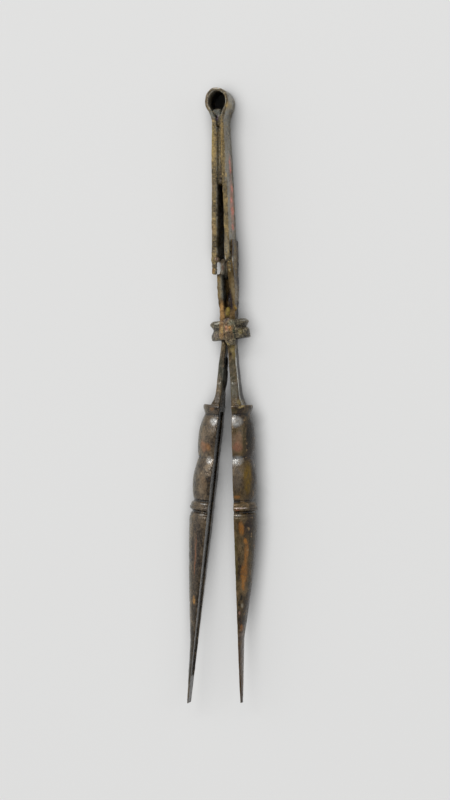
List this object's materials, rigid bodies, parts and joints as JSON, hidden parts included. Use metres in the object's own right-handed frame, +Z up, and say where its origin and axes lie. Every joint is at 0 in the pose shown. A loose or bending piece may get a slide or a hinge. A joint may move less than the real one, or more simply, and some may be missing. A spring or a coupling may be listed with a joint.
{
  "type": "tweezers",
  "caption": "Slender bronze tweezers: a folded spring strip with a round eye carries two turned, tapering half-round legs, and a grooved ring slides on the stems.",
  "frame": {"origin": "on the surface that the tweezers lie on, under the middle of their overall box", "axes": "+X to the right leg's side, +Y along the tweezers towards the eye, +Z up from the surface, across the width of the spring strip"},
  "size_m": [0.019, 0.1642, 0.0116],
  "materials": {
    "bow_bronze": "aged bronze strip, ochre and grey-brown patina, rough",
    "left_leg_bronze": "aged cast bronze, dark grey-brown patina with worn shiny spots",
    "right_leg_bronze": "aged cast bronze, brown and orange-brown patina with worn shiny spots",
    "ring_bronze": "aged cast bronze, grey-brown patina, rough and crusted"
  },
  "bodies": {
    "bow": {"spring_bow": "bow_bronze"},
    "left_arm": {"left_leg": "left_leg_bronze"},
    "right_arm": {"right_leg": "right_leg_bronze"},
    "ring": {"sliding_ring": "ring_bronze"}
  },
  "joints": [
    {"name": "left_close", "type": "hinge", "parent": "bow", "child": "left_arm", "pos_m": [0.00149, 0.01369, 0.0058], "axis": [0, 0, 1], "range_deg": [0, 4], "stiffness_Nm_per_rad": 4, "deforming": ["spring_bow"]},
    {"name": "right_close", "type": "hinge", "parent": "bow", "child": "right_arm", "pos_m": [0.00149, 0.01369, 0.0058], "axis": [0, 0, -1], "range_deg": [0, 4], "stiffness_Nm_per_rad": 4, "deforming": ["spring_bow"]},
    {"name": "ring_slide", "type": "slide", "parent": "bow", "child": "ring", "axis": [-0.0438, -0.999, 0], "range_m": [0, 0.004]}
  ]
}
